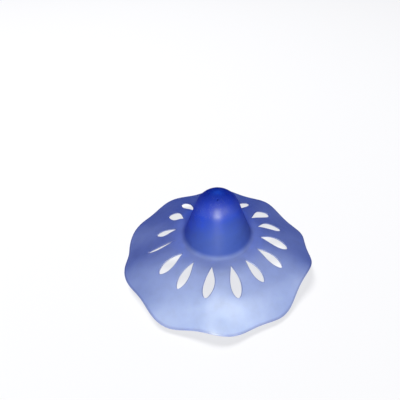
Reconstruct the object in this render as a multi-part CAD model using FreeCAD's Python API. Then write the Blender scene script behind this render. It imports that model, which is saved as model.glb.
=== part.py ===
import FreeCAD, Part
import math
import os

# A flexible drain cap: one soft moulding with a tall dome and a scalloped, wavy brim, and the solid
# dosing block that its dome grips. Liquid runs down the brim and drains through a ring of petals.
# Millimetres, +Z up. The origin is below the dome's axis, on the surface that the brim stands on.

# ---- Driving dimensions: the brim ----
brim_radius = 82.5        # mean radius of the scalloped edge
brim_thickness = 1.5      # measured upright
shoulder_width = 10.6     # the level ring between the dome and the sloping part of the brim
shoulder_bend = 4.0       # how gently the ring turns down into the slope
brim_fall = 0.389         # drop per millimetre of radius, beyond the ring
brim_droop = 3.8          # extra drop, one droop_reach out from the dome
droop_reach = 47.5
lobe_count = 10           # scallops round the edge
lobe_height = 1.6         # how far a scallop stands out from the mean radius
lobe_angle = 22.0         # degrees, of the first scallop's crest

# The soft brim never lies flat. Each row is one wave round it: how many crests it has, its height
# one droop_reach out from the dome, and the angle of one of its crests in degrees.
brim_waves = [(2, 0.7, 98.0), (3, 2.4, 344.0), (4, 1.45, 77.0), (5, 1.8, 59.0), (6, 1.3, 34.0), (10, 1.5, 15.0)]
wave_growth = 1.5         # how quickly a wave builds up towards the edge
# The same flexing makes the edge slightly out of round: crests, height, angle of a crest.
edge_waves = [(2, 1.1, 55.0), (3, 1.0, 31.0)]

# ---- Driving dimensions: the petals ----
petal_count = 16
petal_angle = 14.6        # degrees, of the first petal
petal_inner_radius = 36.2
petal_length = 23.2
petal_width = 8.0
petal_belly = 0.62        # where its width is taken, as a share of its length
petal_end_radius = 2.0    # of its rounded outer end

# ---- Driving dimensions: the dome ----
dome_radius = 28.9        # outside, where the side meets the brim
dome_height = 45.2        # outside, above the root of the brim
dome_tip_radius = 18.5    # outside, of the round top
dome_wall = 2.0
root_fillet = 3.5         # between the dome's side and the brim
root_sink = 0.2           # how far the fillet runs into the brim, so that the two are one
mouth_lip_depth = 2.2     # the lip round the dome's mouth, below the root of the brim
mouth_lip_wall = 2.6
vent_count = 4
vent_radius = 1.1
vent_circle_radius = 7.0

# ---- Driving dimensions: the dosing block ----
block_clearance = 0.3     # all round, inside the dome
block_recess = 4.0        # its base lies this far inside the dome's mouth
block_edge = 1.2          # bevel round its base

grid_steps = 44           # spans of the brim's surface along each side
grid_margin = 1.12        # how far that surface reaches past the mean edge
edge_points = 8           # points of the edge's curve in each scallop


def cosine_waves(waves, angle, growth=1.0):
    """The sum of the waves at an angle in radians."""
    total = 0.0
    for crests, height, crest_angle in waves:
        total += height * math.cos(crests * (angle - math.radians(crest_angle)))
    return total * growth


def side_lean():
    """Half angle of the dome's cone, at which its side runs smoothly into the round top."""
    # The side starts at (dome_radius, 0) and touches a circle of dome_tip_radius whose top is at
    # dome_height, so that radius = dome_radius * cos(lean) - centre_height * sin(lean).
    centre_height = dome_height - dome_tip_radius
    reach = math.hypot(dome_radius, centre_height)
    return math.acos(dome_tip_radius / reach) - math.atan2(centre_height, dome_radius)


def beyond_shoulder(out):
    """How far a place lies beyond the level ring: almost nothing on the ring itself."""
    past = out - shoulder_width
    return (past + math.hypot(past, shoulder_bend)) / 2


def brim_top(x, y):
    """Height of the brim's upper surface above the root of the brim."""
    out = max(0.0, math.hypot(x, y) - dome_radius)
    share = out / droop_reach
    slope_part = brim_fall * (beyond_shoulder(out) - beyond_shoulder(0.0))
    fall = slope_part + brim_droop * share ** 2
    return cosine_waves(brim_waves, math.atan2(y, x), share ** wave_growth) - fall


def edge_point(angle):
    """A point of the scalloped edge, seen from above."""
    lobe = (lobe_count, lobe_height, lobe_angle)
    radius = brim_radius + cosine_waves([lobe] + edge_waves, angle)
    return radius * math.cos(angle), radius * math.sin(angle)


def lowest_edge():
    """Lowest point of the brim's underside, below the root of the brim."""
    heights = []
    for step in range(1440):
        x, y = edge_point(math.radians(step / 4))
        heights.append(brim_top(x, y))
    return min(heights) - brim_thickness


root_height = -lowest_edge()    # the root of the brim stands this far above the origin


def at(radius, height):
    """A point of a profile in the XZ plane, its height counted from the root of the brim."""
    return FreeCAD.Vector(radius, 0, root_height + height)


def revolved(edges):
    face = Part.Face(Part.Wire(edges))
    return face.revolve(FreeCAD.Vector(0, 0, 0), FreeCAD.Vector(0, 0, 1), 360)


def line(start, end):
    return Part.LineSegment(start, end).toShape()


def arc(start, middle, end):
    return Part.Arc(start, middle, end).toShape()


def petal_face(angle):
    """One petal in the XY plane: a drawn-out inner tip, a full belly and a rounded outer end."""
    tail = petal_inner_radius + petal_length
    belly = petal_inner_radius + petal_belly * petal_length
    shoulder = tail - petal_end_radius
    tip = FreeCAD.Vector(petal_inner_radius, 0, 0)
    end = FreeCAD.Vector(tail, 0, 0)
    left = FreeCAD.Vector(shoulder, petal_end_radius, 0)
    right = FreeCAD.Vector(shoulder, -petal_end_radius, 0)
    outline = [
        arc(tip, FreeCAD.Vector(belly, petal_width / 2, 0), left),
        arc(left, end, right),
        arc(right, FreeCAD.Vector(belly, -petal_width / 2, 0), tip),
    ]
    face = Part.Face(Part.Wire(outline))
    face.rotate(FreeCAD.Vector(0, 0, 0), FreeCAD.Vector(0, 0, 1), angle)
    return face


def edge_face():
    """Everything inside the scalloped edge, in the XY plane."""
    count = lobe_count * edge_points
    points = []
    for step in range(count):
        x, y = edge_point(2 * math.pi * step / count)
        points.append(FreeCAD.Vector(x, y, 0))
    curve = Part.BSplineCurve()
    curve.interpolate(Points=points, PeriodicFlag=True)
    return Part.Face(Part.Wire([curve.toShape()]))


def brim():
    """The wavy, scalloped brim with its ring of petals, open in the middle."""
    half = brim_radius * grid_margin
    step = 2 * half / grid_steps
    places = [index * step - half for index in range(grid_steps + 1)]
    heights = [[root_height + brim_top(x, y) for y in places] for x in places]
    surface = Part.BSplineSurface()
    surface.interpolate(heights, -half, step, -half, step)
    sheet = surface.toShape().extrude(FreeCAD.Vector(0, 0, -brim_thickness))

    middle = dome_radius - dome_wall / 2
    holes = [Part.Face(Part.Wire([Part.makeCircle(middle)]))]
    for index in range(petal_count):
        holes.append(petal_face(petal_angle + index * 360 / petal_count))
    plan = edge_face().cut(Part.makeCompound(holes))
    cutter = plan.extrude(FreeCAD.Vector(0, 0, 3 * (root_height + dome_height)))
    cutter.translate(FreeCAD.Vector(0, 0, -(root_height + dome_height)))
    return sheet.common(cutter)


def dome_profile(inset, foot):
    """Side and round top of the dome, inset from its outer face, from a foot height to the axis."""
    lean = side_lean()
    centre = dome_height - dome_tip_radius
    round_radius = dome_tip_radius - inset
    turn = (lean + math.pi / 2) / 2

    def on_top(angle):
        return at(round_radius * math.cos(angle), centre + round_radius * math.sin(angle))

    # The side is a straight line through its touching point, leaning in by the cone's half angle.
    touch_height = centre + round_radius * math.sin(lean)
    foot_radius = round_radius * math.cos(lean) + (touch_height - foot) * math.tan(lean)
    side = line(at(foot_radius, foot), on_top(lean))
    crown = arc(on_top(lean), on_top(turn), on_top(math.pi / 2))
    return side, crown, foot_radius


def root_arc():
    """The concave fillet from the dome's side out to the level ring: both ends and a middle point."""
    lean = side_lean()
    # Its centre lies root_fillet outside the side, and as far above a line just under the ring's top.
    centre_z = root_fillet - root_sink
    side_reach = dome_radius * math.cos(lean) + root_fillet
    centre_r = (side_reach - centre_z * math.sin(lean)) / math.cos(lean)

    def around(normal_angle):
        return (centre_r - root_fillet * math.cos(normal_angle),
                centre_z - root_fillet * math.sin(normal_angle))

    low_angle = math.pi / 2
    return around(lean), around((lean + low_angle) / 2), around(low_angle)


def dome():
    """The dome's shell with the lip round its mouth and the fillet that runs out on the brim."""
    top, middle, low = root_arc()
    side, crown, _ = dome_profile(0.0, top[1])
    inner_side, inner_crown, mouth_radius = dome_profile(dome_wall, -mouth_lip_depth)
    lip_radius = mouth_radius + mouth_lip_wall
    inside_brim = low[1] - brim_thickness / 2
    edges = [
        line(at(mouth_radius, -mouth_lip_depth), at(lip_radius, -mouth_lip_depth)),
        line(at(lip_radius, -mouth_lip_depth), at(lip_radius, inside_brim)),
        line(at(lip_radius, inside_brim), at(low[0], inside_brim)),
        line(at(low[0], inside_brim), at(*low)),
        arc(at(*low), at(*middle), at(*top)),
        side,
        crown,
        line(at(0, dome_height), at(0, dome_height - dome_wall)),
        inner_crown,
        inner_side,
    ]
    shell = revolved(Part.__sortEdges__(edges))
    for index in range(vent_count):
        turn = 2 * math.pi * index / vent_count
        place = FreeCAD.Vector(vent_circle_radius * math.cos(turn), vent_circle_radius * math.sin(turn),
                               root_height + dome_height - dome_tip_radius)
        shell = shell.cut(Part.makeCylinder(vent_radius, 2 * dome_tip_radius, place))
    return shell


def silicone_cap():
    return brim().fuse(dome()).removeSplitter()


def dosing_block():
    """The solid block, shaped to the inside of the dome."""
    inset = dome_wall + block_clearance
    base = block_recess - mouth_lip_depth
    side, crown, _ = dome_profile(inset, base + block_edge)
    lean = side_lean()
    side_foot = side.Vertexes[0].Point
    base_radius = side_foot.x + block_edge * math.tan(lean) - block_edge
    edges = [
        line(at(0, base), at(base_radius, base)),
        line(at(base_radius, base), side_foot),
        side,
        crown,
        line(at(0, dome_height - inset), at(0, base)),
    ]
    return revolved(Part.__sortEdges__(edges))


nodes = {"silicone_cap": silicone_cap(), "dosing_block": dosing_block()}

os.makedirs("parts", exist_ok=True)
for name, shape in nodes.items():
    solids = shape.Solids
    whole = solids[0] if len(solids) == 1 else shape
    whole.exportStep("parts/" + name + ".step")
    box = whole.BoundBox
    print(name, "solids", len(solids), "valid", whole.isValid(), "volume", round(whole.Volume / 1000, 2), "cm3")
    print("   x", round(box.XMin, 2), round(box.XMax, 2), "y", round(box.YMin, 2), round(box.YMax, 2),
          "z", round(box.ZMin, 2), round(box.ZMax, 2))
print("root of the brim at", round(root_height, 2), "mm")
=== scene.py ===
# %% [markdown]
# # A soft drain cap, built around its fixed frame
#
# This lesson dresses a flexible drain cap in Blender. The cap is one soft moulding: a tall dome,
# and a wide brim with a scalloped, wavy edge and a ring of petals that liquid drains through. A
# solid dosing block sits in the dome. The measured parts are loaded first and stay where they
# are, so that every piece made here can take its place from them.

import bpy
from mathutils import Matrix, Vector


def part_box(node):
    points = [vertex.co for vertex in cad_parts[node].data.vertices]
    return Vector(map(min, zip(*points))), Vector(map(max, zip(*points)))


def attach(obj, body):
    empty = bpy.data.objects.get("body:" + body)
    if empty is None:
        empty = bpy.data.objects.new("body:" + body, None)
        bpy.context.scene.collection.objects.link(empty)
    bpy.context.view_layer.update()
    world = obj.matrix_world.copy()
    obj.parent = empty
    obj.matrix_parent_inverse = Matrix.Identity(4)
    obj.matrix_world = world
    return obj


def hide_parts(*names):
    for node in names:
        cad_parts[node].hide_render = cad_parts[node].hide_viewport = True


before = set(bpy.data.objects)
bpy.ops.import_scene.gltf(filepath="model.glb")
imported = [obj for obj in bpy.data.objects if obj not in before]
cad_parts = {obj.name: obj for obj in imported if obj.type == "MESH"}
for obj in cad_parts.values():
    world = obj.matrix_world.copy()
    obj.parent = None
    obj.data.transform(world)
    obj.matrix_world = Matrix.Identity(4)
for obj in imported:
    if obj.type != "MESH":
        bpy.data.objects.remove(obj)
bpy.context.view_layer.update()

# %% Blender's modules and the units
import math

import bpy
import bmesh
import numpy as np
from mathutils import Vector

MM = 0.001
rng = np.random.default_rng(11)
print("one unit in the scene is a metre, and sizes below are in millimetres")

# %% [markdown]
# ## The sizes that shape the moulding
#
# The moulding could be carved by hand, but then nothing would line up with the measured parts.
# Its shape is a formula instead, of the same kind as the measured part: a level ring round the
# dome, a slope that droops a little, and a few soft waves that grow towards the edge. The height
# of the ring comes from the frame: it lies one dome height below the top of the cap.
#
# Most sizes are those of the measured part. The brim is a tenth of a millimetre thinner and
# droops half a millimetre more, so that its rounded edge still comes down to the floor. The
# petals are a little longer and wider, and the vents are smaller.

# %% Sizes of the brim
BRIM_RADIUS = 82.5        # mean radius of the scalloped edge
BRIM_THICKNESS = 1.4
SHOULDER_WIDTH = 10.6     # the level ring between the dome and the sloping part
SHOULDER_BEND = 4.0       # how gently the ring turns down into the slope
BRIM_FALL = 0.389         # drop per millimetre of radius, beyond the ring
BRIM_DROOP = 4.3          # extra drop, one droop reach out from the dome
DROOP_REACH = 47.5
# Each wave is a number of crests, a height and the angle of one crest in degrees.
LOBES = (10, 1.6, 22.0)
BRIM_WAVES = [
    (2, 0.7, 98.0), (3, 2.4, 344.0), (4, 1.45, 77.0),
    (5, 1.8, 59.0), (6, 1.3, 34.0), (10, 1.5, 15.0),
]
WAVE_GROWTH = 1.5         # how quickly a wave builds up towards the edge
EDGE_WAVES = [(2, 1.1, 55.0), (3, 1.0, 31.0)]
print("brim", 2 * BRIM_RADIUS, "mm across, with", LOBES[0], "scallops")

# %% Sizes of the petals
PETALS = 16
PETAL_ANGLE = 14.6        # of the first petal, in degrees
PETAL_INNER = 35.6
PETAL_LENGTH = 23.8
PETAL_WIDTH = 8.3
PETAL_BELLY = 0.64        # where it is widest, as a share of its length
print(PETALS, "petals, each", PETAL_LENGTH, "mm long and", PETAL_WIDTH, "mm wide")

# %% Sizes of the dome
DOME_RADIUS = 28.9        # where the side would meet the brim
DOME_HEIGHT = 45.2        # above the brim's root
DOME_TIP_RADIUS = 18.5    # of the round top
DOME_WALL = 2.0
ROOT_FILLET = 3.5
VENTS = 4
VENT_RADIUS = 0.6
VENT_CIRCLE = 7.0
cap_low, cap_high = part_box("silicone_cap")
ROOT_HEIGHT = cap_high[2] / MM - DOME_HEIGHT
print("the brim's root is", round(ROOT_HEIGHT, 2), "mm above the floor")

# %% [markdown]
# ## Where the sheet lies
#
# A wave round the brim is a cosine: it has a number of crests, a height, and the angle of one
# crest. Added up, a handful of them give the lazy, uneven folds of a soft sheet that was set down
# by hand. A few local folds, each a soft hump or hollow at one place, break up what is left of
# the evenness.

# %% Local folds: angle, radius, height, and how far each one spreads round and out
FOLDS = [
    (137.0, 51.0, 1.6, 21.0, 18.0),
    (188.0, 58.0, -0.8, 18.0, 13.0),
    (211.0, 55.0, 1.0, 10.0, 18.0),
    (228.0, 67.0, -1.2, 10.0, 11.0),
    (248.0, 68.0, 1.6, 10.0, 11.0),
    (273.0, 70.0, -1.7, 11.0, 11.0),
    (286.0, 64.0, 1.6, 10.0, 11.0),
    (300.0, 66.0, 1.6, 22.0, 11.0),
    (317.0, 66.0, 1.5, 10.0, 11.0),
    (339.0, 66.0, -2.4, 12.0, 11.0),
]


def fold_heights(radius, angle):
    """The sum of the local folds, in millimetres."""
    total = np.zeros_like(angle)
    for middle_angle, middle_radius, height, width, length in FOLDS:
        turn = (angle - math.radians(middle_angle) + math.pi) % (2 * math.pi) - math.pi
        away_round = (turn / math.radians(width)) ** 2
        away_out = ((radius - middle_radius) / length) ** 2
        total = total + height * np.exp(-away_round - away_out)
    return total


print(len(FOLDS), "local folds")


# %% Height of the sheet
def waves(rows, angle):
    """The sum of cosine waves at an array of angles, in radians."""
    total = np.zeros_like(angle)
    for crests, height, crest_angle in rows:
        total = total + height * np.cos(crests * (angle - math.radians(crest_angle)))
    return total


def beyond_shoulder(out):
    """How far a place lies beyond the level ring: almost nothing on the ring itself."""
    past = out - SHOULDER_WIDTH
    return (past + np.hypot(past, SHOULDER_BEND)) / 2


def sheet_height(radius, angle):
    """Height of the brim's upper face above its root, in millimetres."""
    out = np.maximum(0.0, radius - DOME_RADIUS)
    share = out / DROOP_REACH
    slope_part = BRIM_FALL * (beyond_shoulder(out) - beyond_shoulder(0.0))
    wavy = waves(BRIM_WAVES, angle) * share ** WAVE_GROWTH
    return wavy + fold_heights(radius, angle) - slope_part - BRIM_DROOP * share ** 2


def edge_radius(angle):
    """Radius of the scalloped edge."""
    return BRIM_RADIUS + waves([LOBES] + EDGE_WAVES, angle)


all_round = np.linspace(0, 2 * math.pi, 721)
edge_line = edge_radius(all_round)
print("edge radius from", edge_line.min().round(1), "to", edge_line.max().round(1), "mm")


# %% Points and normals of the sheet
NORMAL_STEP = 0.2         # how far apart the places are that a normal is worked out from


def sheet_points(radius, angle):
    """Points of the brim's upper face, in millimetres, for arrays of the same shape."""
    height = ROOT_HEIGHT + sheet_height(radius, angle)
    return np.stack([radius * np.cos(angle), radius * np.sin(angle), height], axis=-1)


def sheet_normals(radius, angle):
    """The upward unit normals there, from short steps out and round."""
    step = NORMAL_STEP
    turn = step / radius
    out = sheet_points(radius + step, angle) - sheet_points(radius - step, angle)
    around = sheet_points(radius, angle + turn) - sheet_points(radius, angle - turn)
    normal = np.cross(out, around)
    return normal / np.linalg.norm(normal, axis=-1, keepdims=True)


edge_height = ROOT_HEIGHT + sheet_height(edge_line, all_round)
print("the edge is", edge_height.min().round(1), "to", edge_height.max().round(1), "mm high")

# %% [markdown]
# ## The line from the dome's top to the brim
#
# Seen from the side, the moulding is a round top, a straight leaning side and a hollow fillet
# that runs out on the level ring. Arcs that touch each other give smooth shading, so their shared
# points are worked out rather than guessed.

# %% Lean of the dome's side
centre_height = DOME_HEIGHT - DOME_TIP_RADIUS
lean = math.acos(DOME_TIP_RADIUS / math.hypot(DOME_RADIUS, centre_height))
lean -= math.atan2(centre_height, DOME_RADIUS)
print("the dome leans", round(math.degrees(lean), 1), "degrees")

# %% Side profile of the dome
TOP_GAP = 0.035           # angle by which the topmost ring stays off the axis
CROWN_POINTS = 26
SIDE_POINTS = 16
FILLET_POINTS = 12


def arc_points(centre, radius, start, end, count):
    """Points of an arc in the side view, with both ends."""
    turns = np.linspace(start, end, count)
    return [centre + radius * Vector((math.cos(turn), math.sin(turn))) for turn in turns]


fillet_reach = DOME_RADIUS * math.cos(lean) + ROOT_FILLET - ROOT_FILLET * math.sin(lean)
fillet_middle = Vector((fillet_reach / math.cos(lean), ROOT_FILLET))
crown_middle = Vector((0, centre_height))
crown = arc_points(crown_middle, DOME_TIP_RADIUS, math.pi / 2 - TOP_GAP, lean, CROWN_POINTS)
root = arc_points(fillet_middle, ROOT_FILLET, math.pi + lean, 1.5 * math.pi, FILLET_POINTS)
side = [crown[-1].lerp(root[0], share) for share in np.linspace(0, 1, SIDE_POINTS)[1:-1]]
profile = crown + side + root
print("the line has", len(profile), "points, and the fillet ends at radius", round(root[-1].x, 1))

# %% [markdown]
# ## One grid for the whole moulding
#
# A ring of petals could be cut out with booleans, but these leave long thin faces round every
# opening, which show as dents on a satin surface. Here each petal is a slit along a line of the
# grid, and the grid is simply pulled open round it. Every face of the brim stays a neat four-sided
# one.

# %% Rows from the dome to the edge
COLUMNS = 14              # faces between one petal and the next
TIP_STEPS = 6             # rows from the dome's foot to the petals
PETAL_STEPS = 30          # rows along the petals, closer together at their ends
EDGE_STEPS = 15           # rows from the petals to the edge
FOOT = root[-1].x
PETAL_OUTER = PETAL_INNER + PETAL_LENGTH
tip_rows = np.linspace(FOOT, PETAL_INNER, TIP_STEPS + 1)[1:]
petal_turns = np.linspace(0, math.pi, PETAL_STEPS + 1)[1:]
petal_rows = PETAL_INNER + PETAL_LENGTH * (1 - np.cos(petal_turns)) / 2
brim_rows = np.concatenate([tip_rows, petal_rows])
edge_shares = np.linspace(0, 1, EDGE_STEPS + 1)[1:]
first_slit = len(profile) + len(tip_rows) - 1
last_slit = first_slit + len(petal_rows)
rows = len(profile) + len(brim_rows) + len(edge_shares)
column_shares = (1 - np.cos(np.linspace(0, math.pi, COLUMNS + 1))) / 2
print(rows, "rows and", PETALS * COLUMNS, "columns")

# %% [markdown]
# A soft sheet that has been bent by hand shows every petal a little differently: one is pinched
# almost shut over a fold, the next gapes, others lean or bow. Each petal has a width of its own,
# two small turns, one for its inner tip and one for its outer end, and a bow between them. Some
# stretches of the brim are also drawn in towards the dome or out from it.

# %% Character of each petal
# Share of the usual width, then the turns of the tip and of the outer end and the bow, in degrees.
PETAL_CHARACTER = [
    (1.15, 0.5, 0.8, 2.0), (1.08, -3.2, 2.5, 1.4), (1.0, 0.0, 1.0, 0.5), (1.0, 0.5, -0.5, 0.0),
    (1.0, -0.5, 0.5, 0.0), (1.0, -1.0, -2.0, 0.5), (1.3, -1.5, -2.0, 0.0), (0.74, -1.6, 0.3, 2.1),
    (0.36, -2.0, -2.8, 1.0), (0.96, 1.1, 0.9, 0.0), (0.84, -1.0, -1.4, 0.0), (1.02, 1.0, -0.9, 0.7),
    (1.02, 2.4, 0.8, 0.2), (0.84, 0.7, 2.4, 0.6), (0.8, 2.8, 0.8, 0.0), (1.35, 2.3, 0.8, 0.0),
]
# Stretches of the brim that are drawn in or out: angle, how far it spreads round, and how much.
PULLS = [
    (37.0, 10.0, 4.0), (158.0, 21.0, -8.0), (195.0, 9.0, 3.0), (262.0, 9.0, 1.2),
    (284.0, 9.0, 2.0), (307.0, 9.0, -2.2), (343.0, 15.0, 2.6),
]
widths = [PETAL_WIDTH * character[0] for character in PETAL_CHARACTER]
print("petal widths from", round(min(widths), 1), "to", round(max(widths), 1), "mm")


# %% Shape of a petal
TIP_POWER = 1.35          # over 1 draws the inner tip out
END_POWER = 0.55          # under 1 rounds the outer end
SLIT_END = 1e-6           # share of the length at either end where a petal counts as closed


def opening(radius, petal):
    """Half the width of a petal: a drawn-out inner tip, a full belly and a rounded outer end."""
    along = np.clip((radius - PETAL_INNER) / PETAL_LENGTH, 0, 1)
    past_belly = (along - PETAL_BELLY) / (1 - PETAL_BELLY)
    rise = np.sin(math.pi / 2 * np.clip(along / PETAL_BELLY, 0, 1)) ** TIP_POWER
    fall = np.cos(math.pi / 2 * np.clip(past_belly, 0, 1)) ** END_POWER
    inside = (along > SLIT_END) & (along < 1 - SLIT_END)
    width = PETAL_WIDTH * PETAL_CHARACTER[petal % PETALS][0]
    return np.where(inside, width / 2 * np.where(along < PETAL_BELLY, rise, fall), 0.0)


def middle_line(radius, petal):
    """Angle of a petal's middle line, which also steers the grid inside and outside it."""
    _, tip_turn, end_turn, bow = PETAL_CHARACTER[petal % PETALS]
    start = math.radians(PETAL_ANGLE + 360 / PETALS * petal)
    places = [FOOT, PETAL_INNER, PETAL_OUTER, BRIM_RADIUS]
    along = np.clip((radius - PETAL_INNER) / PETAL_LENGTH, 0, 1)
    turned = np.interp(radius, places, [0.0, tip_turn, end_turn, 0.0])
    return start + np.radians(turned + bow * np.sin(math.pi * along) ** 2)


belly_radius = PETAL_INNER + PETAL_BELLY * PETAL_LENGTH
print("the first petal is", round(2 * float(opening(belly_radius, 0)), 1), "mm wide at its belly")


# %% Pulls on the brim
def pulled(radius, angle):
    """The radius after the pulls, which fade out at the dome and at the edge."""
    share = np.clip((radius - FOOT) / (BRIM_RADIUS - FOOT), 0, 1)
    moved = radius
    for middle, spread, pull in PULLS:
        turn = (angle - math.radians(middle) + math.pi) % (2 * math.pi) - math.pi
        nearness = np.exp(-(turn / math.radians(spread)) ** 2)
        moved = moved + pull * nearness * np.sin(math.pi * share) ** 2
    return moved


print("the strongest pull is", max(PULLS, key=lambda row: abs(row[2]))[2], "mm")

# %% [markdown]
# A soft moulding has no sharp corner: its edges are half round. The grid stops a little short of
# every opening, and a small arc of points runs from the upper face over the edge to the lower
# one. The arc is worked out like the rest, by moving a point towards the opening while it sinks
# through the wall. At the two ends of a slit the arc is flat, and both sides share it.


# %% Thickness of the wall
MOUTH_LIP = 1.6           # how much thicker the wall is at the dome's mouth
LIP_ROWS = 3              # rows from the lip's thickest place to the brim, and its spread
BLEND_ROWS = 6            # rows over which the dome's wall thins to the brim's


def wall_at(row):
    """Thickness along the profile: thicker in the dome, with a lip round its mouth."""
    past_dome = row - len(profile)
    lip = MOUTH_LIP * math.exp(-((past_dome + LIP_ROWS) / LIP_ROWS) ** 2)
    blend = min(1.0, max(0.0, past_dome / BLEND_ROWS))
    return DOME_WALL + (BRIM_THICKNESS - DOME_WALL) * blend + lip


print("the wall is", round(wall_at(0), 2), "mm in the dome and",
      round(wall_at(rows - 1), 2), "mm in the brim")


# %% Place of any point of the brim
RIM = 0.6                 # how far the rounding of an edge stands out


def petal_flank(radius, petal, swell):
    """How far the sheet stays from a petal's middle line. The swell takes the rounding back."""
    gap = float(opening(radius, petal))
    rim = RIM * min(1.0, gap / RIM)
    return gap + rim * (1 - swell)


def row_radius(row, petal, share):
    """Radius of a row before the pulls. Beyond the petals the rows follow the scalloped edge."""
    index = row - len(profile)
    if index < len(brim_rows):
        return float(brim_rows[index])
    out = float(edge_shares[index - len(brim_rows)])
    guess = float(middle_line(BRIM_RADIUS, petal)) + 2 * math.pi / PETALS * share
    limit = float(edge_radius(np.array(guess))) - RIM
    return PETAL_OUTER + (limit - PETAL_OUTER) * out


def brim_place(row, petal, column, arc=0.0):
    """A point of the brim. An arc from 0 to pi carries it over an edge to the lower face."""
    swell, depth = math.sin(arc), (1 - math.cos(arc)) / 2
    share = float(column_shares[column])
    radius = row_radius(row, petal, share)
    left = float(middle_line(radius, petal))
    right = float(middle_line(radius, petal + 1))
    if row < len(profile) + len(brim_rows):
        left_flank = petal_flank(radius, petal, swell * (column == 0))
        right_flank = petal_flank(radius, petal + 1, swell * (column == COLUMNS))
        left += left_flank / float(pulled(radius, left))
        right -= right_flank / float(pulled(radius, right))
    angle = left + (right - left) * share
    moved = float(pulled(radius, angle))
    if row == rows - 1:
        moved += RIM * swell
    return moved, angle, depth * wall_at(row)


edge_place = brim_place(rows - 1, 0, 0, math.pi / 2)
print("the edge beyond the first petal has a radius of", round(edge_place[0], 1), "mm")


# %% Place of any point of the dome
def dome_place(row, petal, column):
    """The point on the dome's outer face and the one under it, in millimetres."""
    start = float(middle_line(FOOT, petal))
    angle = start + 2 * math.pi / PETALS * float(column_shares[column])
    point = profile[row]
    before, after = profile[max(row - 1, 0)], profile[min(row + 1, len(profile) - 1)]
    along = (after - before).normalized()
    turned = np.array([math.cos(angle), math.sin(angle)])
    top = np.array([*(point.x * turned), ROOT_HEIGHT + point.y])
    normal = np.array([*(-along.y * turned), along.x])
    return top, top - wall_at(row) * normal


top, under = dome_place(0, 0, 0)
print("the dome's top ring is at", top.round(2), "and the one under it at", under.round(2))

# %% Make the corners
cap_mesh = bmesh.new()
upper, lower = {}, {}


def corner(row, petal, column):
    """Key of a grid corner: the two sides of a slit have their own corners, the rest are shared."""
    if column == COLUMNS and not first_slit < row < last_slit:
        return row, (petal + 1) % PETALS, 0
    return row, petal, column


def brim_verts(places):
    """Vertices for a list of places, each a radius, an angle and a depth below the upper face."""
    radius, angle, depth = np.array(places).T
    points = sheet_points(radius, angle) - depth[:, None] * sheet_normals(radius, angle)
    return [cap_mesh.verts.new(Vector(point) * MM) for point in points]


keys = sorted({corner(row, petal, column)
               for row in range(rows)
               for petal in range(PETALS)
               for column in range(COLUMNS + 1)})
brim_keys = [key for key in keys if key[0] >= len(profile)]
for key in keys[:len(keys) - len(brim_keys)]:
    top, under = dome_place(*key)
    upper[key] = cap_mesh.verts.new(Vector(top) * MM)
    lower[key] = cap_mesh.verts.new(Vector(under) * MM)
upper.update(zip(brim_keys, brim_verts([brim_place(*key) for key in brim_keys])))
lower_places = []
for key in brim_keys:
    radius, angle, _ = brim_place(*key)
    lower_places.append((radius, angle, wall_at(key[0])))
lower.update(zip(brim_keys, brim_verts(lower_places)))
print(len(upper) + len(lower), "corners")

# %% Cover both faces
for row in range(rows - 1):
    for petal in range(PETALS):
        for column in range(COLUMNS):
            ring = [corner(row, petal, column), corner(row + 1, petal, column),
                    corner(row + 1, petal, column + 1), corner(row, petal, column + 1)]
            cap_mesh.faces.new([upper[key] for key in ring])
            cap_mesh.faces.new([lower[key] for key in reversed(ring)])
print(len(cap_mesh.faces), "faces")


# %% Round the edges
ARC_STEPS = 6


def arc_verts(key):
    """The vertices over an edge at one corner, from the upper face to the lower one."""
    steps = [math.pi * step / ARC_STEPS for step in range(1, ARC_STEPS)]
    return [upper[key]] + brim_verts([brim_place(*key, arc) for arc in steps]) + [lower[key]]


def cover_edge(arcs):
    """Faces between the arcs of neighbouring corners."""
    made = []
    for first, second in zip(arcs, arcs[1:]):
        for step in range(ARC_STEPS):
            ring = [first[step], first[step + 1], second[step + 1], second[step]]
            made.append(cap_mesh.faces.new(ring))
    return made


rim_faces = []
for petal in range(PETALS):
    inner_end = arc_verts(corner(first_slit, petal, 0))
    outer_end = arc_verts(corner(last_slit, petal, 0))
    for owner, column in ((petal, 0), ((petal - 1) % PETALS, COLUMNS)):
        flank = [arc_verts((row, owner, column)) for row in range(first_slit + 1, last_slit)]
        rim_faces += cover_edge([inner_end] + flank + [outer_end])
edge_keys = [corner(rows - 1, petal, column)
             for petal in range(PETALS)
             for column in range(COLUMNS)]
edge_arcs = [arc_verts(key) for key in edge_keys]
rim_faces += cover_edge(edge_arcs + edge_arcs[:1])
print(len(rim_faces), "faces round the edges")

# %% Close the dome's top
PEAK = 0.01               # how far the middle stands above the topmost ring
top_ring = [corner(0, petal, column) for petal in range(PETALS) for column in range(COLUMNS)]
for side_points in (upper, lower):
    ring = [side_points[key] for key in top_ring]
    middle = sum((vert.co for vert in ring), Vector()) / len(ring)
    peak = cap_mesh.verts.new(middle + Vector((0, 0, PEAK * MM)))
    for first, second in zip(ring, ring[1:] + ring[:1]):
        cap_mesh.faces.new([peak, first, second])
bmesh.ops.recalc_face_normals(cap_mesh, faces=cap_mesh.faces)
print("closed:", all(edge.is_manifold for edge in cap_mesh.edges))

# %% Mark the edges for the finish, which gives them painted shade
rim_mark = cap_mesh.verts.layers.float.new("rim")
for face in rim_faces:
    for vert in face.verts:
        vert[rim_mark] = 1.0


def add_piece(name, made):
    """An object with smooth shading from a finished bmesh."""
    data = bpy.data.meshes.new(name)
    made.to_mesh(data)
    made.free()
    for polygon in data.polygons:
        polygon.use_smooth = True
    piece = bpy.data.objects.new(name, data)
    bpy.context.collection.objects.link(piece)
    return piece


cap = add_piece("frosted_cap", cap_mesh)
print("the cap has", len(cap.data.polygons), "faces")

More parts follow.
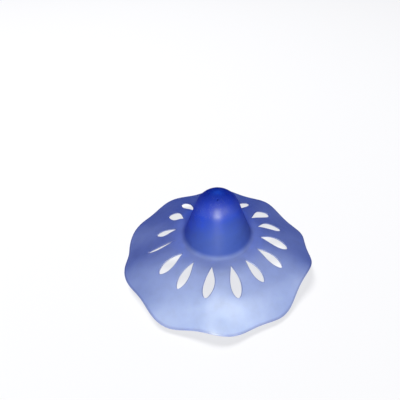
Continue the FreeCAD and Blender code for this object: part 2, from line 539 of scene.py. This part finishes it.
# %% [markdown]
# ## The vents
#
# Four small holes in the round top let the air out when the cap is pressed over its block. They
# are few and tiny and lie on an even surface, so a boolean can cut them: the thin faces that it
# leaves round them are too small to show.

# %% Cut the vents
CUTTER_DEPTH = 8
CUTTER_SIDES = 24


def vent_cutter(place):
    """A closed upright cylinder."""
    mesh = bmesh.new()
    radius = VENT_RADIUS * MM
    bmesh.ops.create_cone(mesh, cap_ends=True, segments=CUTTER_SIDES,
                          radius1=radius, radius2=radius, depth=CUTTER_DEPTH * MM)
    bmesh.ops.translate(mesh, verts=mesh.verts, vec=place)
    made = bpy.data.meshes.new("vent_cutter")
    mesh.to_mesh(made)
    mesh.free()
    piece = bpy.data.objects.new("vent_cutter", made)
    bpy.context.collection.objects.link(piece)
    return piece


for index in range(VENTS):
    angle = 2 * math.pi * index / VENTS
    x, y = VENT_CIRCLE * math.cos(angle), VENT_CIRCLE * math.sin(angle)
    cutter = vent_cutter(Vector((x, y, ROOT_HEIGHT + DOME_HEIGHT)) * MM)
    cut = cap.modifiers.new("vent", "BOOLEAN")
    cut.operation = "DIFFERENCE"
    cut.solver = "EXACT"
    cut.object = cutter
    bpy.context.view_layer.objects.active = cap
    bpy.ops.object.modifier_apply(modifier=cut.name)
    bpy.data.objects.remove(cutter)
print("the cap with its vents has", len(cap.data.polygons), "faces")

# %% [markdown]
# ## The dosing block
#
# The block is pressed from powder, so its faces are true but grainy. It could be a plain turned
# body with the grain left to the material, but its outline would then be too clean. A turned
# profile gives the body here, and small pits, drawn from a fixed seed, roughen it.

# %% Line of the block, from the middle of its base to its top
BLOCK_GAP = 0.3           # between the block and the dome's wall
BLOCK_BEVEL = 1.2
BLOCK_TOP_GAP = 0.05      # angle by which the topmost ring stays off the axis
BASE_POINTS = 16
BASE_START = 0.04         # radius of the innermost ring, as a share of the base
BEVEL_POINTS = 6
BLOCK_POINTS = 22         # along its side, and again along its round top
block_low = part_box("dosing_block")[0]
block_base = block_low[2] / MM - ROOT_HEIGHT
block_round = DOME_TIP_RADIUS - (DOME_WALL + BLOCK_GAP)
side_rise = centre_height + block_round * math.sin(lean) - block_base
side_foot = block_round * math.cos(lean) + side_rise * math.tan(lean)
bevel_middle = Vector((side_foot - BLOCK_BEVEL, block_base + BLOCK_BEVEL))
bevel = arc_points(bevel_middle, BLOCK_BEVEL, -math.pi / 2, lean, BEVEL_POINTS)
base_shares = np.linspace(BASE_START, 1, BASE_POINTS)[:-1]
block_top = arc_points(crown_middle, block_round, lean, math.pi / 2 - BLOCK_TOP_GAP, BLOCK_POINTS)
wall_shares = np.linspace(0, 1, BLOCK_POINTS)[1:-1]
block_line = [Vector((bevel[0].x * share, block_base)) for share in base_shares] + bevel
block_line += [bevel[-1].lerp(block_top[0], share) for share in wall_shares] + block_top
print("the block's base is", round(2 * side_foot, 1), "mm across")

# %% Turn the block
SPOKES = 120
CRUMBLE = 0.05            # typical depth of a pit
LEAST_RADIUS = 0.2        # keeps the innermost rings open
grain = rng.normal(0, CRUMBLE, (len(block_line), SPOKES))
block_mesh = bmesh.new()
grid = []
for index, point in enumerate(block_line):
    ring = []
    for spoke in range(SPOKES):
        angle = 2 * math.pi * spoke / SPOKES
        radius = max(LEAST_RADIUS, point.x - abs(grain[index, spoke]))
        spot = Vector((radius * math.cos(angle), radius * math.sin(angle), ROOT_HEIGHT + point.y))
        ring.append(block_mesh.verts.new(spot * MM))
    grid.append(ring)
for lower_ring, upper_ring in zip(grid, grid[1:]):
    for spoke in range(SPOKES):
        beside = (spoke + 1) % SPOKES
        ring = [lower_ring[spoke], lower_ring[beside], upper_ring[beside], upper_ring[spoke]]
        block_mesh.faces.new(ring)
block_mesh.faces.new(list(reversed(grid[0])))
block_mesh.faces.new(grid[-1])
bmesh.ops.recalc_face_normals(block_mesh, faces=block_mesh.faces)
block = add_piece("pressed_block", block_mesh)
print("the block has", len(block.data.polygons), "faces")

# %% [markdown]
# ## Finishes
#
# The skin is frosted: light spreads in it, and its shine is broad and soft. The block's dye shows
# through the dome and fades out at its foot. A see-through shader would be true to life, but slow
# and hard to steer, so the colour is painted as a gradient over the moulding itself, measured
# from its axis and its height. The grain of the skin and of the block comes from one shader
# group, which gives each of them a fine height and a coarser mottle at its own scale.

# %% Helpers for shader nodes
def new_group(name, inputs, outputs):
    """A node group with number inputs and the given outputs."""
    group = bpy.data.node_groups.new(name, "ShaderNodeTree")
    for label, value in inputs.items():
        socket = group.interface.new_socket(label, in_out="INPUT", socket_type="NodeSocketFloat")
        socket.default_value = value
    for label, kind in outputs.items():
        group.interface.new_socket(label, in_out="OUTPUT", socket_type=kind)
    return group, group.nodes.new("NodeGroupInput"), group.nodes.new("NodeGroupOutput")


def noise(tree, place, scale, detail, roughness=0.5):
    """A noise pattern from 0 to 1. The scale comes from a socket."""
    node = tree.nodes.new("ShaderNodeTexNoise")
    node.inputs["Detail"].default_value = detail
    node.inputs["Roughness"].default_value = roughness
    tree.links.new(place, node.inputs["Vector"])
    tree.links.new(scale, node.inputs["Scale"])
    return node.outputs["Fac"]


def math_node(tree, operation, *values):
    """A sum on numbers and sockets."""
    node = tree.nodes.new("ShaderNodeMath")
    node.operation = operation
    for socket, value in zip(node.inputs, values):
        if isinstance(value, (int, float)):
            socket.default_value = value
        else:
            tree.links.new(value, socket)
    return node.outputs[0]


def smooth_range(tree, value, low, high, to_low=0.0, to_high=1.0):
    """A soft step from one value to another while the input goes from low to high."""
    node = tree.nodes.new("ShaderNodeMapRange")
    node.interpolation_type = "SMOOTHSTEP"
    node.inputs["From Min"].default_value = low
    node.inputs["From Max"].default_value = high
    node.inputs["To Min"].default_value = to_low
    node.inputs["To Max"].default_value = to_high
    tree.links.new(value, node.inputs["Value"])
    return node.outputs["Result"]


def mix_colour(tree, share, first, second):
    """The first colour where the share is 0, the second one where it is 1."""
    node = tree.nodes.new("ShaderNodeMix")
    node.data_type = "RGBA"
    for label, value in (("Factor", share), ("A", first), ("B", second)):
        if isinstance(value, tuple):
            node.inputs[label].default_value = (*value, 1)
        else:
            tree.links.new(value, node.inputs[label])
    return node.outputs["Result"]


print("helpers for sums, soft steps, noise and colours")

# %% Shader group for fine grain
MOTTLE_SCALE = 0.12       # the mottle's scale, as a share of the grain's
group_outputs = {"Height": "NodeSocketFloat", "Mottle": "NodeSocketFloat"}
grain_group, given, made = new_group("fine_grain", {"Scale": 900.0}, group_outputs)
place = grain_group.nodes.new("ShaderNodeTexCoord").outputs["Object"]
coarse_scale = math_node(grain_group, "MULTIPLY", given.outputs["Scale"], MOTTLE_SCALE)
fine = noise(grain_group, place, given.outputs["Scale"], detail=4.0, roughness=0.6)
coarse = noise(grain_group, place, coarse_scale, detail=3.0)
grain_group.links.new(fine, made.inputs["Height"])
grain_group.links.new(coarse, made.inputs["Mottle"])
print("group", grain_group.name, "gives a height and a mottle")


# %% Start a grained material
def grained_material(name, scale, bump_strength, bump_distance):
    """A material with the grain in its normals. Gives the material, its shader and the grain."""
    material = bpy.data.materials.new(name)
    material.use_nodes = True
    tree = material.node_tree
    shader = tree.nodes["Principled BSDF"]
    grain_node = tree.nodes.new("ShaderNodeGroup")
    grain_node.node_tree = grain_group
    grain_node.inputs["Scale"].default_value = scale
    bump = tree.nodes.new("ShaderNodeBump")
    bump.inputs["Strength"].default_value = bump_strength
    bump.inputs["Distance"].default_value = bump_distance
    tree.links.new(grain_node.outputs["Height"], bump.inputs["Height"])
    tree.links.new(bump.outputs["Normal"], shader.inputs["Normal"])
    return material, shader, grain_node


skin, skin_shader, skin_grain = grained_material(
    "frosted_skin", scale=1100.0, bump_strength=0.12, bump_distance=0.0002)
print("started", skin.name)

# %% [markdown]
# ## The frosted skin
#
# Where the block touches the dome's wall, its deep blue shows at full strength, with fine pale
# specks where the touch is broken. Further down and on the side where the wall stands off, the
# frosting veils it, and this paler blue also carries a painted sheen, low down, in front and on
# the right, where the lamps fall. The brim has no block behind it: it is a milky blue that gets
# paler outwards, and its cut edges get painted shade, a darker blue. A height that also counts
# how far back and to the left a place lies gives the slanting line between the touched wall and
# the veiled wall with its painted sheen.

# %% Colours of the skin
CONTACT_BLUE = (0.0, 0.052, 0.68)
SPECK_BLUE = (0.12, 0.17, 0.66)
# The veiled blue is partly the frosting's veil and partly painted sheen from the front lamps.
VEILED_SHEEN_BLUE = (0.050, 0.107, 0.48)
RING_BLUE = (0.37, 0.47, 0.90)
PALE_BLUE = (0.47, 0.59, 1.0)
# The darker blue of the cut edges is painted shade.
RIM_SHADE_BLUE = (0.14, 0.19, 0.54)
print("six blues for the skin")

# %% Places on the moulding, in metres
tree = skin.node_tree
place = tree.nodes.new("ShaderNodeTexCoord").outputs["Object"]
split = tree.nodes.new("ShaderNodeSeparateXYZ")
tree.links.new(place, split.inputs[0])
x, y = split.outputs["X"], split.outputs["Y"]
x_squared = math_node(tree, "MULTIPLY", x, x)
y_squared = math_node(tree, "MULTIPLY", y, y)
radius = math_node(tree, "SQRT", math_node(tree, "ADD", x_squared, y_squared))
height = math_node(tree, "SUBTRACT", split.outputs["Z"], ROOT_HEIGHT * MM)
mottle = math_node(tree, "SUBTRACT", skin_grain.outputs["Mottle"], 0.5)
print("the skin knows its radius and its height above the brim's root")

# %% Paint the dome, with painted sheen low down, in front and on the right
SHEEN_LEAN_LEFT = -0.35         # how much a place to the left counts as higher, so the painted sheen sits on the right
SHEEN_LEAN_BACK = 0.9           # how much a place at the back counts as higher, so the painted sheen sits in front
LEAN_MOTTLE = 0.015       # metres by which the mottle moves the line
DEEP_FROM, DEEP_TO = -0.006, 0.034     # heights between which the veil and its painted sheen give way to deep blue
SPECKS_FROM = 0.010
SPECK_LOW, SPECK_HIGH = 0.54, 0.68           # values of the grain between which a speck sets in
SPECK_STRENGTH = 0.9
# This level leans so that the veiled blue, partly painted sheen, lies low down, in front and on the
# right.
veil_sheen_level = math_node(tree, "MULTIPLY_ADD", x, SHEEN_LEAN_LEFT, height)
veil_sheen_level = math_node(tree, "MULTIPLY_ADD", y, SHEEN_LEAN_BACK, veil_sheen_level)
veil_sheen_level = math_node(tree, "MULTIPLY_ADD", mottle, LEAN_MOTTLE, veil_sheen_level)
deep_not_sheen = smooth_range(tree, veil_sheen_level, DEEP_FROM, DEEP_TO)
speckled = smooth_range(tree, veil_sheen_level, SPECKS_FROM, DEEP_TO)
grain_height = skin_grain.outputs["Height"]
speck = smooth_range(tree, grain_height, SPECK_LOW, SPECK_HIGH, 0.0, SPECK_STRENGTH)
specks = math_node(tree, "MULTIPLY", speck, speckled)
dome_colour = mix_colour(tree, deep_not_sheen, VEILED_SHEEN_BLUE, CONTACT_BLUE)
dome_colour = mix_colour(tree, specks, dome_colour, SPECK_BLUE)
print("the dome goes from veiled to deep blue")

# %% Paint the brim, with painted shade along its edges
PALE_FROM, PALE_TO = 0.030, 0.072
FOOT_OUT, FOOT_IN = 3.5, 5.0     # how far the dome's blue fades, out and in from its foot
FOOT_SLANT = -0.7         # the higher a place is, the further out it still counts as dome
RIM_SHADE_STRENGTH = 0.6
MOTTLE_STRENGTH = 0.3
pale = smooth_range(tree, radius, PALE_FROM, PALE_TO)
brim_colour = mix_colour(tree, pale, RING_BLUE, PALE_BLUE)
outward = math_node(tree, "MULTIPLY_ADD", height, FOOT_SLANT, radius)
on_dome = smooth_range(tree, outward, (DOME_RADIUS + FOOT_OUT) * MM, (DOME_RADIUS - FOOT_IN) * MM)
colour = mix_colour(tree, on_dome, brim_colour, dome_colour)
# The cut edges get a darker blue: painted shade.
rim_shade_share = tree.nodes.new("ShaderNodeAttribute")
rim_shade_share.attribute_name = "rim"
rim_shade = math_node(tree, "MULTIPLY", rim_shade_share.outputs["Fac"], RIM_SHADE_STRENGTH)
colour = mix_colour(tree, rim_shade, colour, RIM_SHADE_BLUE)
hue = tree.nodes.new("ShaderNodeHueSaturation")
tree.links.new(math_node(tree, "MULTIPLY_ADD", mottle, MOTTLE_STRENGTH, 1.0), hue.inputs["Value"])
tree.links.new(colour, hue.inputs["Color"])
tree.links.new(hue.outputs["Color"], skin_shader.inputs["Base Color"])
print("the brim is painted, and darker along its edges")

# %% [markdown]
# The moulding doesn't shine alike all over. The brim and the round top are smooth and catch a
# broad glow and a small highlight; the dome's side is duller. A coat over the base gives this:
# its weight is a mask that is 0 on the dome's side, and the base itself is a little smoother on
# the top.

# %% Gloss of the skin
COAT_RING = (0.030, 0.042)     # radius at which the brim's coat sets in
COAT_CROWN = (0.030, 0.038)    # height at which the round top's coat sets in
CROWN_COAT = 0.7
SMOOTH_CROWN = (0.027, 0.037)
SIDE_ROUGHNESS = 0.5
CROWN_ROUGHNESS = 0.38
brim_coat = smooth_range(tree, radius, *COAT_RING)
crown_coat = smooth_range(tree, height, *COAT_CROWN, 0.0, CROWN_COAT)
coat = math_node(tree, "ADD", brim_coat, crown_coat)
rough = smooth_range(tree, height, *SMOOTH_CROWN, SIDE_ROUGHNESS, CROWN_ROUGHNESS)
tree.links.new(coat, skin_shader.inputs["Coat Weight"])
tree.links.new(rough, skin_shader.inputs["Roughness"])
skin_shader.inputs["Coat IOR"].default_value = 2.3
skin_shader.inputs["Coat Roughness"].default_value = 0.48
skin_shader.inputs["IOR"].default_value = 1.5
skin_shader.inputs["Specular IOR Level"].default_value = 0.4
skin_shader.inputs["Subsurface Weight"].default_value = 0.1
skin_shader.inputs["Subsurface Radius"].default_value = (0.6, 0.7, 1.0)
skin_shader.inputs["Subsurface Scale"].default_value = 0.003
cap.data.materials.append(skin)
print("material", skin.name)

# %% [markdown]
# ## The pressed powder
#
# The block is taken to be dyed soap or salt, pressed in a mould. It is matt, coarser in grain
# than the skin, and uneven in colour where the powder took up more or less dye.

# %% Pressed powder
DEEP_DYE = (0.004, 0.03, 0.30)
BRIGHT_DYE = (0.02, 0.09, 0.55)
powder, powder_shader, powder_grain = grained_material(
    "pressed_powder", scale=500.0, bump_strength=0.5, bump_distance=0.0003)
colour = mix_colour(powder.node_tree, powder_grain.outputs["Mottle"], DEEP_DYE, BRIGHT_DYE)
powder.node_tree.links.new(colour, powder_shader.inputs["Base Color"])
powder_shader.inputs["Roughness"].default_value = 0.75
block.data.materials.append(powder)
print("material", powder.name)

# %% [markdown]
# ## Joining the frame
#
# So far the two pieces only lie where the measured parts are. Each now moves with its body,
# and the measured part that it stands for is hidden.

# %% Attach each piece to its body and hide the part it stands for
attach(cap, "cap")
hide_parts("silicone_cap")
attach(block, "block")
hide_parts("dosing_block")
print("the cap and the block ride on their bodies")

# %% [markdown]
# ## Floor
#
# The object stands on pale paper that runs on past the view. Paper under studio lamps is hard to
# get evenly white without burning out the object, so most of its light is its own glow, and a
# lamp that lights nothing else adds the rest and casts the object's soft shadow on it.

# %% Floor
FLOOR_REACH = 4.0
FLOOR_DROP = 0.05         # below the lowest place of the cap
PAPER_GREY = (0.15, 0.15, 0.15, 1)
PAPER_GLOW = (1, 1, 0.995, 1)
PAPER_STRENGTH = 0.74
floor_mesh = bpy.data.meshes.new("floor")
corner_signs = ((-1, -1), (1, -1), (1, 1), (-1, 1))
floor_corners = [(along * FLOOR_REACH, back * FLOOR_REACH, 0) for along, back in corner_signs]
floor_mesh.from_pydata(floor_corners, [], [(0, 1, 2, 3)])
floor = bpy.data.objects.new("floor", floor_mesh)
floor.location.z = cap_low[2] - FLOOR_DROP * MM
bpy.context.collection.objects.link(floor)
paper = bpy.data.materials.new("paper")
paper.use_nodes = True
paper_inputs = paper.node_tree.nodes["Principled BSDF"].inputs
paper_inputs["Base Color"].default_value = PAPER_GREY
paper_inputs["Emission Color"].default_value = PAPER_GLOW
paper_inputs["Emission Strength"].default_value = PAPER_STRENGTH
paper_inputs["Roughness"].default_value = 0.9
floor_mesh.materials.append(paper)
floor.visible_glossy = False
print("floor", 2 * FLOOR_REACH, "m wide")

# %% [markdown]
# ## Camera
#
# The camera looks down at 45 degrees from close by, so that the brim's ring of petals opens into
# a clear oval and the dome stands up from it. It aims at a place on the axis, and a small shift
# sets the object to the right of the middle and low in the frame.

# %% Camera
ELEVATION = math.radians(45.0)
DISTANCE = 0.3025
LENS = 32.1
SHIFT = (-0.0438, 0.0745)
AIM_BELOW_TOP = 0.0406
camera_data = bpy.data.cameras.new("camera")
camera_data.lens = LENS
camera_data.sensor_width = 36
camera_data.shift_x, camera_data.shift_y = SHIFT
camera = bpy.data.objects.new("camera", camera_data)
target = Vector((0, 0, cap_high[2] - AIM_BELOW_TOP))
towards = Vector((0, -math.cos(ELEVATION), math.sin(ELEVATION)))
camera.location = target + towards * DISTANCE
camera.rotation_euler = (-towards).to_track_quat("-Z", "Y").to_euler()
bpy.context.collection.objects.link(camera)
bpy.context.scene.camera = camera
print("camera", DISTANCE, "m from its aim")

# %% [markdown]
# ## Lamps
#
# Three small warm lamps in front, one of them low and one to the right, light the brim towards
# the viewer and put the highlight on the round top. A larger blue lamp behind and two faint blue
# ones at the sides keep the back of the brim and the dome's foot from going dark. Each of these
# lights only the cap and the block, so that the paper stays even, and the floor has a lamp of its
# own.

# %% Lamps
WARM_WHITE = (1.0, 0.99, 0.70)
DEEP_BLUE = (0.03, 0.20, 1.0)
FILL_BLUE = (0.25, 0.5, 1.0)
PURE_WHITE = (1.0, 1.0, 1.0)
# Name, place from the camera's aim, size in metres, watts and colour.
OBJECT_LAMPS = [
    ("front_lamp", (0, -0.17, 0.13), 0.05, 0.072, WARM_WHITE),
    ("low_lamp", (0, -0.18, 0.045), 0.05, 0.140, WARM_WHITE),
    ("side_lamp", (0.15, -0.15, 0.15), 0.05, 0.034, WARM_WHITE),
    ("back_lamp", (0, 0.55, 0.5), 0.3, 0.95, DEEP_BLUE),
    ("left_fill", (-0.2, -0.08, 0.02), 0.08, 0.018, FILL_BLUE),
    ("right_fill", (0.2, -0.08, 0.02), 0.08, 0.018, FILL_BLUE),
]
FLOOR_LAMP = ("floor_lamp", (-0.5, 0.4, 1.9), 0.7, 63.0, PURE_WHITE)


def area_lamp(name, offset, size, watts, colour, receivers):
    """A square lamp that lights only the receivers, though all the rest still cast shadows."""
    lamp = bpy.data.lights.new(name, "AREA")
    lamp.size = size
    lamp.energy = watts
    lamp.color = colour
    made = bpy.data.objects.new(name, lamp)
    made.location = target + Vector(offset)
    made.rotation_euler = (target - made.location).to_track_quat("-Z", "Y").to_euler()
    bpy.context.collection.objects.link(made)
    group = bpy.data.collections.new(name + "_receivers")
    for piece in receivers:
        group.objects.link(piece)
    made.light_linking.receiver_collection = group


for row in OBJECT_LAMPS:
    area_lamp(*row, [cap, block])
area_lamp(*FLOOR_LAMP, [floor])
print(len(OBJECT_LAMPS), "lamps for the object and one for the floor")

# %% [markdown]
# ## Surroundings
#
# Besides the lamps, the object is lit from all round by a faint bluish glow, stronger in front
# than behind. The camera itself sees plain white there, so that the horizon doesn't show.

# %% Surroundings
FRONT_GLOW = (0.177, 0.181, 0.369)
BACK_GLOW = (0.010, 0.020, 0.100)
GLOW_TURN = 0.5           # how far to either side of the middle the glow changes over
world = bpy.data.worlds.new("surroundings")
world.use_nodes = True
sky = world.node_tree
direction = sky.nodes.new("ShaderNodeSeparateXYZ")
sky.links.new(sky.nodes.new("ShaderNodeTexCoord").outputs["Generated"], direction.inputs[0])
backward = smooth_range(sky, direction.outputs["Y"], -GLOW_TURN, GLOW_TURN)
seen = sky.nodes.new("ShaderNodeLightPath").outputs["Is Camera Ray"]
glow = mix_colour(sky, backward, FRONT_GLOW, BACK_GLOW)
glow = mix_colour(sky, seen, glow, PURE_WHITE)
sky.links.new(glow, sky.nodes["Background"].inputs["Color"])
bpy.context.scene.world = world
bpy.context.scene.view_settings.view_transform = "Standard"
print("bluish surroundings, white to the camera")
